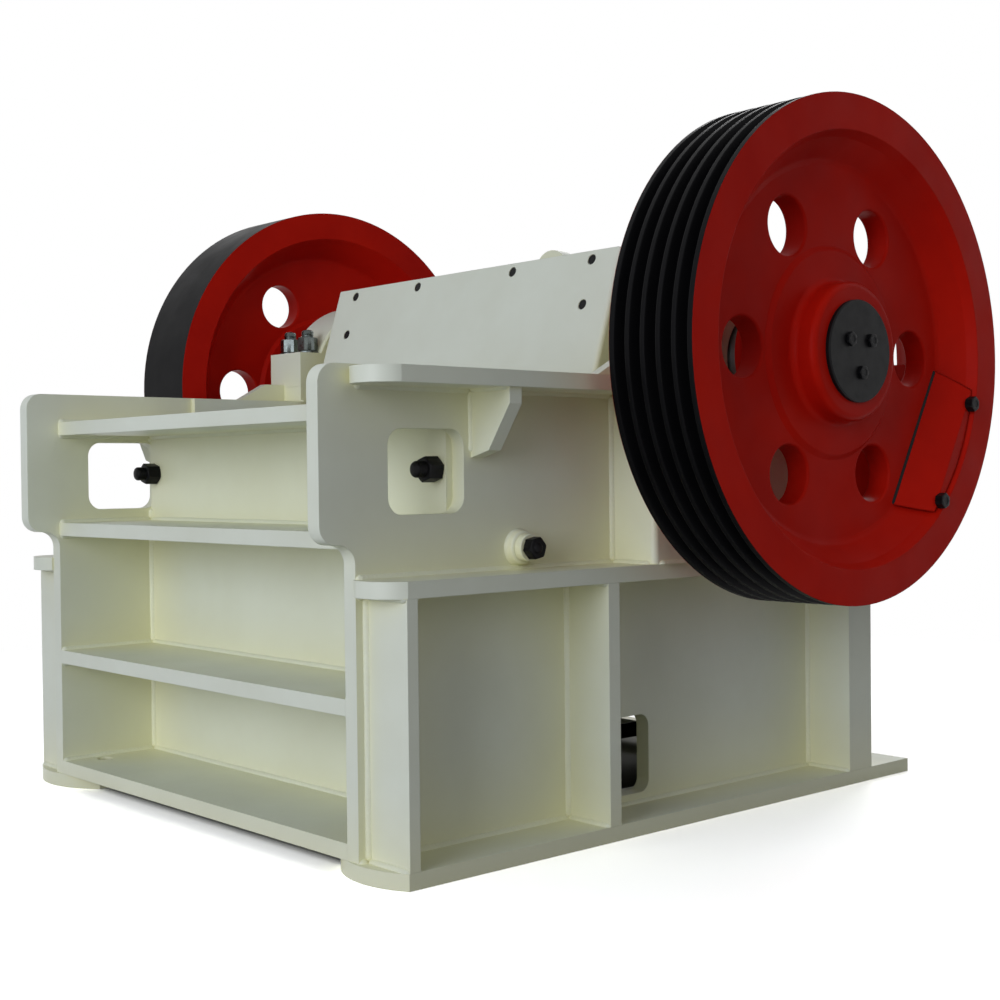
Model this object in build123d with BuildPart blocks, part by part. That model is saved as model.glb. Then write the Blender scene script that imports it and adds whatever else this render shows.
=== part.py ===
"""Single-toggle jaw crusher with a welded plate frame, a grooved sheave and a plain flywheel.

X runs along the shaft and +X is the sheave's side. Y runs from the fixed jaw
at the front (-Y) to the toggle at the back (+Y). Z is up from the feet's underside.
Millimetres.
"""
import os
from math import atan2, cos, degrees, hypot, radians, sin

from build123d import *

os.makedirs("parts", exist_ok=True)

# Side plates
plate_out = 700.0
plate_thick = 40.0
ear_reach = 90.0
ear_low = 703.0
ear_high = 1080.0
ear_radius = 42.0
rear_slope_deep = 72.0
rear_slope_drop = 140.0
window_ahead = 88.0
window_z = 855.0
window_wide = 212.0
window_high = 186.0
window_radius = 38.0
access_behind = 36.0
access_z = 156.0
access_wide = 172.0
access_high = 192.0
access_radius = 30.0

# Feet
foot_thick = 36.0
foot_lead = 3.0
foot_tail = 10.0
foot_inset = 140.0
foot_nose = 28.0
foot_arch = 61.0
anchor_inset = 90.0
anchor_lead = 100.0
anchor_tail = 115.0
anchor_radius = 21.0

# Front wall and the shelves in front of it
wall_thick = 40.0
wall_high = 1003.0
rib_thick = 36.0
shelf_deep = 282.0
lower_rib_z = 341.0
shoulder_rib_z = 692.0

# Flanges, posts and gussets on the sides
flange_reach = 138.0
mid_flange_z = 595.0
mid_flange_lead = 15.0
mid_flange_root = 10.0
mid_flange_nose = 45.0
top_flange_drop = 44.0
top_flange_lead = 38.0
top_flange_root = 38.0
top_flange_nose = 58.0
front_post_back = 27.0
front_post_thick = 28.0
mid_post_ahead = 193.0
gusset_back = 39.0
gusset_edge = 8.0
gusset_tip = 60.0
gusset_drop = 36.0
gusset_deep = 152.0
gusset_tip_deep = 136.0
ramp_long = 189.0
ramp_slope = 120.0
ramp_rise = 64.0
ramp_inset = 44.0
ramp_thick = 30.0

# Shaft line and bearings
shaft_y = 238.0
shaft_z = 1128.0
throw = 15.0
journal_radius = 110.0
journal_step = 10.0
eccentric_step = 25.0
run_gap = 1.0
housing_inset = 26.0
pocket_radius = 260.0
cap_step = 14.0
lug_deep = 66.0
lug_rise = 107.0
lug_drop = 43.0
cover_edge = 80.0
cover_thick = 15.0
cover_bore_gap = 6.0
pedestal_web = 30.0

# Wheels
wheel_gap = 80.0
wheel_radius = 600.0
rim_thick = 85.0
rim_edge_step = 25.0
rim_edge_drop = 14.0
dish_rise = 46.0
web_depth = 82.0
web_thick = 62.0
pad_depth = 72.0
pad_step = 78.0
pad_slope = 12.0
hub_wall = 65.0
hub_round = 16.0
hub_back = 10.0
hole_inner_gap = 8.0
hole_outer_gap = 52.0
hole_count = 6
hole_edge = 6.0
corner_radius = 22.0
groove_pitch = 45.0
groove_count = 5
groove_top = 33.0
groove_bottom = 14.0
groove_depth = 30.0
groove_edge = 14.5
end_cap_lap = 21.0
end_cap_thick = 12.0
weight_turn = -29.5
weight_deep = 58.0
weight_lean = 73.0
weight_half = 222.0
weight_inset = 12.0
weight_face = 8.0

# Jaws and the chamber between them
mouth_wide = 278.0
outlet_wide = 47.0
jaw_low = 110.0
jaw_drop = 128.0
jaw_thick = 95.0
tooth_high = 32.0
tooth_side = 8
tooth_crest = 26.0
tooth_root = 22.0
cheek_thick = 20.0
cheek_drop = 50.0
side_gap = 10.0
rest_deep = 55.0
rest_high = 40.0

# Swing jaw
head_radius = 280.0
head_gap = 70.0
seal_wall = 50.0
front_web = 55.0
rib_count = 5
swing_rib_thick = 40.0
toe_ahead = 88.0
toe_low = 74.0
toe_high = 330.0
lip_deep = 60.0
lip_thick = 26.0
lug_back = 110.0
lug_stand = 99.0
lug_half = 72.0
lug_thick = 40.0
lug_hole = 28.0

# Guard over the swing jaw's head
guard_gap = 57.0
guard_thick = 12.0
guard_low_ahead = 67.0
guard_lean = 121.0
guard_low_rise = 28.0
guard_rise = 392.0
guard_return = 100.0
guard_hole_edge = 96.0
guard_hole_inner_x = 205.0
guard_hole_high = 25.0
guard_hole_low = 148.0
guard_hole_radius = 14.0
jaw_ahead = 96.0
wedge_inset = 20.0
wedge_deep = 60.0
wedge_lip = 26.0

# Toggle and the back of the frame
toggle_front_z = 215.0
toggle_rear_z = 352.0
toggle_long = 550.0
toggle_thick = 36.0
toggle_end_radius = 28.0
toggle_gap = 110.0
toggle_clear = 54.0
block_deep = 140.0
block_high = 160.0
block_gap = 60.0
shelf_lead = 20.0
shim_deep = 80.0
shim_inset = 150.0
rear_wall_thick = 40.0
rear_wall_high = 900.0
rear_shelf_deep = 60.0
rear_window_wide = 320.0
rear_window_high = 130.0
rod_inset = 240.0
rod_z = 150.0
rod_radius = 20.0
rod_start = 52.0
rod_past = 165.0
rod_hole_gap = 2.0
nut_thick = 40.0
nut_half = 34.0
rod_tail = 11.0
washer_radius = 66.0
washer_thick = 12.0
spring_radius = 48.0
spring_wire = 9.0
spring_turns = 4.5

# Places across the machine, from the middle outwards
plate_in = plate_out - plate_thick
flange_out = plate_out + flange_reach
foot_in = plate_out - foot_inset
foot_out = flange_out
anchor_x = plate_out - anchor_inset
ramp_in = flange_out - ramp_inset - ramp_thick
gusset_reach = flange_reach - gusset_edge
housing_in = plate_out - housing_inset
housing_out = flange_out
wheel_wide = groove_pitch * (groove_count - 1) + groove_top + 2 * groove_edge
wheel_in = housing_out + wheel_gap
wheel_out = wheel_in + wheel_wide
hub_face = wheel_out - end_cap_thick
chamber_half = plate_in - cheek_thick
tooth_pitch = plate_in / tooth_side
moving_half = chamber_half - side_gap
seal_out = housing_in - side_gap
head_half = plate_in - head_gap
guard_half = plate_in - guard_gap
guard_hole_x = guard_half - guard_hole_edge
wedge_half = head_half - wedge_inset
toggle_half = plate_in - toggle_gap
block_half = plate_in - block_gap
shim_half = block_half - shim_inset
rod_x = plate_in - rod_inset
sides = (("left", -1), ("right", 1))

# Radii
seat_radius = journal_radius - journal_step
eccentric_radius = journal_radius + eccentric_step
seal_radius = eccentric_radius + seal_wall
cover_radius = journal_radius + cover_edge
bearing_cap_radius = pocket_radius + cap_step
end_cap_radius = seat_radius + end_cap_lap
hub_radius = seat_radius + hub_wall
pad_radius = hub_radius + pad_step
rim_edge_radius = wheel_radius - rim_thick
web_floor_radius = rim_edge_radius - rim_edge_drop - dish_rise
hole_inner = pad_radius + pad_slope + hole_inner_gap
hole_outer = web_floor_radius - hole_outer_gap
hole_radius = (hole_outer - hole_inner) / 2
hole_circle = (hole_outer + hole_inner) / 2
weight_chord = web_floor_radius - weight_deep

# Heights from the shaft line down
swing_z = shaft_z + throw
lug_high = shaft_z + lug_rise
lug_low = shaft_z - lug_drop
jaw_high = shaft_z - jaw_drop
cheek_high = shaft_z - cheek_drop
guard_low_z = jaw_high + guard_low_rise
guard_high_z = guard_low_z + guard_rise
upper_rib_z = wall_high - rib_thick
top_flange_z = ear_high - top_flange_drop
ramp_high = top_flange_z + rib_thick + ramp_rise

# Places along the machine, forwards from the shaft line to the ears
housing_half = pocket_radius + lug_deep
pedestal_front = shaft_y - housing_half
pedestal_rear = shaft_y + housing_half
ramp_start = pedestal_front - ramp_long
ramp_end = ramp_start + ramp_slope
lug_y = shaft_y + lug_back
guard_low_y = shaft_y - head_radius - guard_low_ahead
guard_high_y = guard_low_y + guard_lean
moving_tip_high = guard_low_y - jaw_ahead
fixed_tip = moving_tip_high - mouth_wide
moving_tip_low = fixed_tip + outlet_wide
wall_back = fixed_tip - jaw_thick
wall_front = wall_back - wall_thick
window_y = wall_front - window_ahead
gusset_y = wall_front + gusset_back
plate_front = wall_front - shelf_deep
ear_front = plate_front - ear_reach
foot_front = plate_front - foot_lead
anchor_front = plate_front + anchor_lead
mid_flange_front = plate_front - mid_flange_lead
top_flange_front = plate_front - top_flange_lead
front_post_y = plate_front + front_post_back

# Places along the machine, backwards to the ends of the rods
toe_back = shaft_y - head_radius - toe_ahead
access_y = toe_back + access_behind
mid_post_y = access_y - mid_post_ahead
block_front = toe_back + toggle_long
shelf_front = block_front - shelf_lead
rear_wall_y = block_front + block_deep + shim_deep
rear_post_y = rear_wall_y
plate_rear = rear_wall_y + rear_wall_thick + rear_shelf_deep
rear_slope_start = plate_rear - rear_slope_deep
rod_front = toe_back + rod_start
rod_rear = plate_rear + rod_past
foot_rear = rod_rear + foot_tail
anchor_rear = foot_rear - anchor_tail

jaw_length = hypot(moving_tip_high - moving_tip_low, jaw_high - jaw_low)
jaw_uy = (moving_tip_high - moving_tip_low) / jaw_length
jaw_uz = (jaw_high - jaw_low) / jaw_length
seat_low = (moving_tip_low + jaw_thick * jaw_uz, jaw_low - jaw_thick * jaw_uy)
seat_high = (moving_tip_high + jaw_thick * jaw_uz, jaw_high - jaw_thick * jaw_uy)

guard_length = hypot(guard_high_y - guard_low_y, guard_high_z - guard_low_z)
guard_uy = (guard_high_y - guard_low_y) / guard_length
guard_uz = (guard_high_z - guard_low_z) / guard_length


def save(part, name):
    part.label = name
    export_step(part, "parts/" + name + ".step")


def slab(x0, x1, y0, y1, z0, z1, mode=Mode.ADD):
    """A block between two corners, in the piece being built."""
    with Locations(((x0 + x1) / 2, (y0 + y1) / 2, (z0 + z1) / 2)):
        Box(abs(x1 - x0), abs(y1 - y0), abs(z1 - z0), mode=mode)


def across(x):
    """Sketch plane square to the shaft: its x is Y, its y is Z, it faces +X."""
    return Plane(origin=(x, 0, 0), x_dir=(0, 1, 0), z_dir=(1, 0, 0))


def guard_point(along, back):
    """Y and Z of a point up the guard's front face and behind it."""
    return (guard_low_y + along * guard_uy + back * guard_uz,
            guard_low_z + along * guard_uz - back * guard_uy)


def jaw_point(along, back):
    """Y and Z of a point up the swing jaw's seat from its foot and behind it."""
    return (seat_low[0] + along * jaw_uy + back * jaw_uz,
            seat_low[1] + along * jaw_uz - back * jaw_uy)


# Side plates: ear in front, seat for the bearing, slope at the back
for side, sign in sides:
    inner_x = plate_in if sign > 0 else -plate_out
    with BuildPart() as side_plate:
        with BuildSketch(across(inner_x)):
            with BuildLine():
                Polyline(
                    (plate_front, foot_thick), (plate_front, ear_low), (ear_front, ear_low),
                    (ear_front, ear_high), (pedestal_front, ear_high), (pedestal_front, lug_low),
                    (pedestal_rear, lug_low), (pedestal_rear, shaft_z),
                    (rear_slope_start, shaft_z), (plate_rear, shaft_z - rear_slope_drop),
                    (plate_rear, foot_thick), close=True)
            make_face()
        extrude(amount=plate_thick)
        ear = [e for e in side_plate.edges().filter_by(Axis.X)
               if e.center().Y < plate_front + 1 and e.center().Z > foot_thick + 1]
        fillet(ear, min(ear_radius, 0.48 * ear_reach))
        with BuildSketch(across(inner_x)):
            with Locations((shaft_y, shaft_z)):
                Circle(pocket_radius)
            with Locations((window_y, window_z)):
                RectangleRounded(window_wide, window_high, window_radius)
            with Locations((access_y, access_z)):
                RectangleRounded(access_wide, access_high, access_radius)
        extrude(amount=plate_thick, mode=Mode.SUBTRACT)
    save(side_plate.part, "side_plate_" + side)

# Front wall, and the shelves between it and the front edges of the side plates
with BuildPart() as front_wall:
    slab(-plate_in, plate_in, wall_front, wall_back, foot_thick, wall_high)
save(front_wall.part, "front_wall")

for name, low in (("front_base_plate", foot_thick), ("front_rib_lower", lower_rib_z),
                  ("front_rib_shoulder", shoulder_rib_z), ("front_rib_upper", upper_rib_z)):
    with BuildPart() as shelf:
        slab(-plate_in, plate_in, plate_front, wall_front, low, low + rib_thick)
        if low == foot_thick:
            with Locations(Plane.XY.offset(low + rib_thick)):
                with Locations((-anchor_x, anchor_front), (anchor_x, anchor_front)):
                    Hole(anchor_radius, rib_thick)
    save(shelf.part, name)

# Feet, flanges, posts, gussets and bearing pedestals of each side
for side, sign in sides:
    with BuildPart() as foot:
        with BuildSketch():
            with BuildLine():
                Polyline((sign * foot_in, foot_front + foot_arch), (sign * foot_in, foot_rear),
                         (sign * foot_out, foot_rear), (sign * foot_out, foot_front + foot_nose))
                ThreePointArc((sign * foot_out, foot_front + foot_nose),
                              (sign * (plate_out + foot_out) / 2, foot_front),
                              (sign * foot_in, foot_front + foot_arch))
            make_face()
        extrude(amount=foot_thick)
        with Locations(Plane.XY.offset(foot_thick)):
            with Locations((sign * anchor_x, anchor_front), (sign * anchor_x, anchor_rear)):
                Hole(anchor_radius, foot_thick)
    save(foot.part, "foot_" + side)

    # ledges with a rounded nose; the upper one carries the ramp up to the bearing
    for name, low, front, root, nose, rear in (
            ("mid_flange_", mid_flange_z, mid_flange_front, mid_flange_root, mid_flange_nose,
             plate_rear),
            ("top_flange_", top_flange_z, top_flange_front, top_flange_root, top_flange_nose,
             pedestal_front)):
        top = low + rib_thick
        with BuildPart() as flange:
            with BuildSketch(Plane.XY.offset(low)):
                with BuildLine():
                    Polyline((sign * flange_out, front + nose), (sign * flange_out, rear),
                             (sign * plate_out, rear), (sign * plate_out, front + root))
                    ThreePointArc((sign * plate_out, front + root),
                                  (sign * (flange_out - nose), front),
                                  (sign * flange_out, front + nose))
                make_face()
            extrude(amount=rib_thick)
            if low == top_flange_z:
                with BuildSketch(across(ramp_in if sign > 0 else -ramp_in - ramp_thick)):
                    with BuildLine():
                        Polyline((ramp_start, top), (ramp_end, ramp_high), (rear, ramp_high),
                                 (rear, top), close=True)
                    make_face()
                extrude(amount=ramp_thick)
        save(flange.part, name + side)

    for name, front, rear in (("front_post_", front_post_y, front_post_y + front_post_thick),
                              ("mid_post_", mid_post_y, mid_post_y + rib_thick),
                              ("rear_post_", rear_post_y, plate_rear)):
        with BuildPart() as post:
            slab(sign * plate_out, sign * flange_out, front, rear, foot_thick, mid_flange_z)
        save(post.part, name + side)

    with BuildPart() as gusset:
        with BuildSketch(Plane.XZ.offset(-gusset_y)):
            with BuildLine():
                Polyline((sign * plate_out, top_flange_z),
                         (sign * (plate_out + gusset_reach), top_flange_z),
                         (sign * (plate_out + gusset_reach), top_flange_z - gusset_drop),
                         (sign * (plate_out + gusset_tip), top_flange_z - gusset_tip_deep),
                         (sign * plate_out, top_flange_z - gusset_deep), close=True)
            make_face()
        extrude(amount=-rib_thick)
    save(gusset.part, "gusset_" + side)

    # box of three webs between the middle flange and the bearing's lugs
    with BuildPart() as pedestal:
        low = mid_flange_z + rib_thick
        slab(sign * plate_out, sign * flange_out, pedestal_front, pedestal_rear, low, lug_low)
        slab(sign * plate_out, sign * (flange_out - pedestal_web), pedestal_front + pedestal_web,
             pedestal_rear - pedestal_web, low, lug_low, mode=Mode.SUBTRACT)
        lower_corner = [e for e in pedestal.edges().filter_by(Axis.Z)
                        if abs(abs(e.center().X) - flange_out) < 1]
        fillet(lower_corner, pedestal_web / 2)
        with BuildSketch(across(plate_out if sign > 0 else -flange_out)):
            with Locations((shaft_y, shaft_z)):
                Circle(pocket_radius)
        extrude(amount=flange_out - plate_out, mode=Mode.SUBTRACT)
    save(pedestal.part, "bearing_pedestal_" + side)

# Bearings: lower half in the pocket, cap on top, a cover ring outside
for side, sign in sides:
    low_x = housing_in if sign > 0 else -housing_out
    housing_wide = housing_out - housing_in
    halves = (("bearing_housing_", pocket_radius, lug_low, shaft_z),
              ("bearing_cap_", bearing_cap_radius, shaft_z, lug_high))
    for name, radius, low, high in halves:
        with BuildPart() as half:
            with BuildSketch(across(low_x)):
                with Locations((shaft_y, shaft_z)):
                    Circle(radius)
                with Locations((shaft_y, (low + high) / 2)):
                    Rectangle(2 * housing_half, high - low)
                with Locations((shaft_y, shaft_z)):
                    Circle(journal_radius + run_gap, mode=Mode.SUBTRACT)
                away = -housing_half if high > shaft_z else housing_half
                with Locations((shaft_y, shaft_z + away)):
                    Rectangle(3 * housing_half, 2 * housing_half, mode=Mode.SUBTRACT)
            extrude(amount=housing_wide)
            if high > shaft_z:
                rim = half.edges().filter_by(GeomType.CIRCLE).filter_by(
                    lambda e: abs(e.radius - radius) < 1)
                chamfer(rim, hole_edge)
        save(half.part, name + side)

    with BuildPart() as cover:
        with BuildSketch(across(housing_out if sign > 0 else -housing_out - cover_thick)):
            with Locations((shaft_y, shaft_z)):
                Circle(cover_radius)
                Circle(journal_radius + cover_bore_gap, mode=Mode.SUBTRACT)
        extrude(amount=cover_thick)
    save(cover.part, "bearing_cover_" + side)


def tooth_row(shift):
    """Ribbed face in plan, past both edges of the jaw: x across, y from its back to its crests."""
    root = jaw_thick - tooth_high
    flank = (tooth_pitch - tooth_crest - tooth_root) / 2
    points = []
    for i in range(-tooth_side - 1, tooth_side + 2):
        x = shift + i * tooth_pitch
        points += [(x - tooth_crest / 2 - flank, root), (x - tooth_crest / 2, jaw_thick),
                   (x + tooth_crest / 2, jaw_thick), (x + tooth_crest / 2 + flank, root)]
    return [(points[0][0], 0)] + points + [(points[-1][0], 0)]


# Fixed jaw plate on its rest, and the cheek plates beside the chamber
with BuildPart() as fixed_jaw:
    with BuildSketch(Plane.XY.offset(jaw_low)):
        with BuildLine():
            Polyline(*[(x, fixed_tip - jaw_thick + y) for x, y in tooth_row(0)], close=True)
        make_face()
        with Locations((0, fixed_tip)):
            Rectangle(2 * plate_in, 4 * jaw_thick, mode=Mode.INTERSECT)
    extrude(amount=jaw_high - jaw_low)
save(fixed_jaw.part, "fixed_jaw_plate")

with BuildPart() as jaw_rest:
    slab(-plate_in, plate_in, wall_back, wall_back + rest_deep, jaw_low - rest_high, jaw_low)
save(jaw_rest.part, "fixed_jaw_rest")

for side, sign in sides:
    with BuildPart() as cheek:
        with BuildSketch(across(chamber_half if sign > 0 else -plate_in)):
            with BuildLine():
                Polyline((fixed_tip, jaw_low), (fixed_tip, cheek_high),
                         (guard_point(0, 0)[0], cheek_high), (seat_low[0], jaw_low), close=True)
            make_face()
        extrude(amount=cheek_thick)
    save(cheek.part, "cheek_plate_" + side)

# Shaft: plain journals outside, eccentric in the middle
with BuildPart() as shaft:
    for half, radius, rise in ((hub_face, seat_radius, 0),
                               (wheel_in - 2 * hub_back, journal_radius, 0),
                               (seal_out + 2 * run_gap, eccentric_radius, throw)):
        with BuildSketch(across(-half)):
            with Locations((shaft_y, shaft_z + rise)):
                Circle(radius)
        extrude(amount=2 * half)
save(shaft.part, "eccentric_shaft")


def wheel_section(grooved):
    """Half section from the outer face inwards: depth behind that face, radius."""
    back = web_depth + web_thick
    points = [(end_cap_thick, seat_radius), (end_cap_thick, hub_radius), (pad_depth, hub_radius),
              (pad_depth, pad_radius), (web_depth, pad_radius + pad_slope),
              (web_depth, web_floor_radius), (rim_edge_step, rim_edge_radius - rim_edge_drop),
              (0, rim_edge_radius), (0, wheel_radius)]
    if grooved:
        first = (wheel_wide - groove_pitch * (groove_count - 1)) / 2
        for i in range(groove_count):
            middle = first + i * groove_pitch
            points += [(middle - groove_top / 2, wheel_radius),
                       (middle - groove_bottom / 2, wheel_radius - groove_depth),
                       (middle + groove_bottom / 2, wheel_radius - groove_depth),
                       (middle + groove_top / 2, wheel_radius)]
    points += [(wheel_wide, wheel_radius), (wheel_wide, rim_edge_radius),
               (wheel_wide - rim_edge_step, rim_edge_radius - rim_edge_drop), (back, web_floor_radius),
               (back, pad_radius + pad_slope), (back + web_depth - pad_depth, pad_radius),
               (back + web_depth - pad_depth, hub_radius), (wheel_wide + hub_back, hub_radius),
               (wheel_wide + hub_back, seat_radius)]
    return points


for name, sign, grooved in (("grooved_sheave", 1, True), ("plain_flywheel", -1, False)):
    with BuildPart() as wheel:
        with BuildSketch(Plane(origin=(0, shaft_y, shaft_z), x_dir=(1, 0, 0),
                               z_dir=(0, -1, 0))) as section:
            with BuildLine():
                Polyline(*[(sign * (wheel_out - depth), radius)
                           for depth, radius in wheel_section(grooved)], close=True)
            make_face()
            for radius, bend in ((hub_radius, hub_round), (web_floor_radius, corner_radius)):
                fillet([v for v in section.vertices() if abs(v.Y - radius) < 0.1], bend)
        revolve(axis=Axis((0, shaft_y, shaft_z), (1, 0, 0)))
        with BuildSketch(across(wheel_in if sign > 0 else -wheel_out)):
            with Locations((shaft_y, shaft_z)):
                with PolarLocations(hole_circle, hole_count):
                    Circle(hole_radius)
        extrude(amount=wheel_wide, mode=Mode.SUBTRACT)
        rims = [e for e in wheel.edges().filter_by(GeomType.CIRCLE)
                if abs(e.radius - hole_radius) < 0.1]
        fillet(rims, hole_edge)
    save(wheel.part, name)

# Counterweights: blocks in the dishes on both sides of the web, straight towards the hub
weight_along = (0, cos(radians(weight_turn)), sin(radians(weight_turn)))
weight_across = (0, -sin(radians(weight_turn)), cos(radians(weight_turn)))
for side, sign in sides:
    web_front = wheel_out - web_depth
    web_back = web_front - web_thick
    front_slope = degrees(atan2(dish_rise, web_depth - rim_edge_step))
    back_slope = degrees(atan2(dish_rise, web_back - wheel_in - rim_edge_step))
    with BuildPart() as weight:
        for start, facing, end, slope, lean in (
                (web_front, sign, wheel_out - weight_face, front_slope, weight_lean),
                (web_back, -sign, wheel_in + weight_face, back_slope, 0)):
            with BuildPart(mode=Mode.PRIVATE) as block:
                with BuildSketch(Plane(origin=(sign * start, shaft_y, shaft_z),
                                       x_dir=weight_along, z_dir=(facing, 0, 0))):
                    Circle(web_floor_radius - weight_inset)
                extrude(amount=abs(end - start), taper=-slope)
                with BuildSketch(Plane(origin=(0, shaft_y, shaft_z), x_dir=weight_along,
                                       z_dir=weight_across)):
                    with BuildLine():
                        Polyline((weight_chord, -sign * start), (weight_chord + lean, -sign * end),
                                 (wheel_radius, -sign * end), (wheel_radius, -sign * start),
                                 close=True)
                    make_face()
                extrude(amount=weight_half, both=True, mode=Mode.INTERSECT)
            add(block.part)
    save(weight.part, "counterweight_" + side)

    with BuildPart() as end_cap:
        with BuildSketch(across(hub_face if sign > 0 else -wheel_out)):
            with Locations((shaft_y, shaft_z)):
                Circle(end_cap_radius)
        extrude(amount=end_cap_thick)
        outer = end_cap.faces().sort_by(Axis.X)[-1 if sign > 0 else 0]
        chamfer(outer.edges(), hole_edge / 2)
    save(end_cap.part, "shaft_end_cap_" + side)

# Swing jaw: head, front web, toe with the toggle seat, ribs behind
with BuildPart() as swing_jaw:
    with BuildSketch(across(-head_half)):
        with Locations((shaft_y, swing_z)):
            Circle(head_radius)
        with BuildLine():
            Polyline(jaw_point(0, 0), seat_high, guard_point(0, guard_thick),
                     guard_point(guard_length - head_radius / 4, guard_thick),
                     guard_point(guard_length - head_radius / 4, guard_thick + front_web),
                     guard_point(0, guard_thick + front_web), jaw_point(0, front_web), close=True)
        make_face()
        with BuildLine():
            Polyline(jaw_point(0, 0), jaw_point(0, -lip_deep), jaw_point(-lip_thick, -lip_deep),
                     (toe_back, toe_low), (toe_back, toe_high),
                     jaw_point(toe_high - seat_low[1], front_web), close=True)
        make_face()
        with Locations((toe_back, toggle_front_z)):
            Circle(toggle_end_radius, mode=Mode.SUBTRACT)
        with Locations((shaft_y, swing_z)):
            Circle(eccentric_radius + run_gap, mode=Mode.SUBTRACT)
    extrude(amount=2 * head_half)
    for i in range(rib_count):
        rib_x = -head_half + i * (2 * head_half - swing_rib_thick) / (rib_count - 1)
        with BuildSketch(across(rib_x)):
            with BuildLine():
                Polyline(jaw_point(front_web, front_web / 2), seat_high,
                         (shaft_y - eccentric_radius - 2 * run_gap, swing_z),
                         (shaft_y + head_radius * 0.6, swing_z - head_radius * 0.75),
                         (toe_back, toe_high - front_web), close=True)
            make_face()
            with Locations((shaft_y, swing_z)):
                Circle(eccentric_radius + run_gap, mode=Mode.SUBTRACT)
        extrude(amount=swing_rib_thick)
    for low_x in (-seal_out, head_half):
        with BuildSketch(across(low_x)):
            with Locations((shaft_y, swing_z)):
                Circle(seal_radius)
                Circle(eccentric_radius + run_gap, mode=Mode.SUBTRACT)
        extrude(amount=seal_out - head_half)
    # lifting lug on the head
    lug_root = swing_z + head_radius * 0.7
    lug_eye = lug_root + lug_stand
    with BuildSketch(Plane.XZ.offset(-lug_y)):
        with Locations((0, (lug_root + lug_eye) / 2)):
            Rectangle(2 * lug_half, lug_eye - lug_root)
        with Locations((0, lug_eye)):
            Circle(lug_half)
            Circle(lug_hole, mode=Mode.SUBTRACT)
    extrude(amount=-lug_thick)
save(swing_jaw.part, "swing_jaw")

# Moving jaw plate, in the plane square to its own seat
with BuildPart() as moving_jaw:
    foot_plane = Plane(origin=(0, *jaw_point(0, 0)), x_dir=(1, 0, 0), z_dir=(0, jaw_uy, jaw_uz))
    with BuildSketch(foot_plane):
        with BuildLine():
            Polyline(*[(x, -y) for x, y in tooth_row(tooth_pitch / 2)], close=True)
        make_face()
        Rectangle(2 * moving_half, 4 * jaw_thick, mode=Mode.INTERSECT)
    extrude(amount=jaw_length)
save(moving_jaw.part, "moving_jaw_plate")

with BuildPart() as wedge:
    with BuildSketch(across(-wedge_half)):
        with BuildLine():
            Polyline(seat_high, jaw_point(jaw_length, -wedge_deep), guard_point(0, -wedge_lip),
                     guard_point(0, guard_thick), close=True)
        make_face()
    extrude(amount=2 * wedge_half)
save(wedge.part, "moving_jaw_wedge")

# Guard over the head: face with drilled holes and two folded returns
with BuildPart() as guard:
    with BuildSketch(across(-guard_half)):
        with BuildLine():
            Polyline(guard_point(0, 0), guard_point(guard_length, 0),
                     guard_point(guard_length, guard_return), guard_point(0, guard_return), close=True)
        make_face()
    extrude(amount=2 * guard_half)
    folds = (guard.edges().filter_by(Axis((0, 0, 0), (0, guard_uy, guard_uz)))
             .group_by(Axis((0, 0, 0), (0, guard_uz, -guard_uy)))[0])
    fillet(folds, guard_thick)
    with BuildSketch(across(-guard_half + guard_thick)):
        with BuildLine():
            Polyline(guard_point(0, guard_thick), guard_point(guard_length, guard_thick),
                     guard_point(guard_length, guard_return), guard_point(0, guard_return), close=True)
        make_face()
    extrude(amount=2 * (guard_half - guard_thick), mode=Mode.SUBTRACT)
    face_plane = Plane(origin=(0, *guard_point(guard_length, 0)), x_dir=(1, 0, 0),
                       z_dir=(0, -guard_uz, guard_uy))
    with BuildSketch(face_plane):
        with Locations(*[(x, -guard_hole_high) for x in (-guard_hole_x, -guard_hole_inner_x,
                                                         guard_hole_inner_x, guard_hole_x)],
                       (-guard_hole_x, -guard_hole_low), (guard_hole_x, -guard_hole_low)):
            Circle(guard_hole_radius)
    extrude(amount=-guard_thick, mode=Mode.SUBTRACT)
save(guard.part, "head_guard")

# Toggle plate between the swing jaw and the adjusting block
toggle_run = hypot(block_front - toe_back, toggle_rear_z - toggle_front_z)
toggle_uy = (block_front - toe_back) / toggle_run
toggle_uz = (toggle_rear_z - toggle_front_z) / toggle_run
toggle_tilt = degrees(atan2(toggle_uz, toggle_uy))
front_end = (toe_back + toggle_clear * toggle_uy, toggle_front_z + toggle_clear * toggle_uz)
with BuildPart() as toggle:
    with BuildSketch(across(-toggle_half)):
        with Locations(front_end, (block_front, toggle_rear_z)):
            Circle(toggle_end_radius)
        with Locations(((front_end[0] + block_front) / 2, (front_end[1] + toggle_rear_z) / 2)):
            Rectangle(toggle_run - toggle_clear, toggle_thick, rotation=toggle_tilt)
    extrude(amount=2 * toggle_half)
save(toggle.part, "toggle_plate")

block_low = toggle_rear_z - block_high / 2
block_top = toggle_rear_z + block_high / 2
with BuildPart() as block:
    slab(-block_half, block_half, block_front, block_front + block_deep, block_low, block_top)
    with BuildSketch(across(-block_half)):
        with Locations((block_front, toggle_rear_z)):
            Circle(toggle_end_radius)
    extrude(amount=2 * block_half, mode=Mode.SUBTRACT)
save(block.part, "adjusting_block")

with BuildPart() as shims:
    slab(-shim_half, shim_half, block_front + block_deep, rear_wall_y, block_low, block_top)
save(shims.part, "shim_pack")

for name, low in (("toggle_shelf_upper", block_top), ("toggle_shelf_lower", block_low - rib_thick)):
    with BuildPart() as shelf:
        slab(-plate_in, plate_in, shelf_front, rear_wall_y, low, low + rib_thick)
    save(shelf.part, name)

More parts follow.
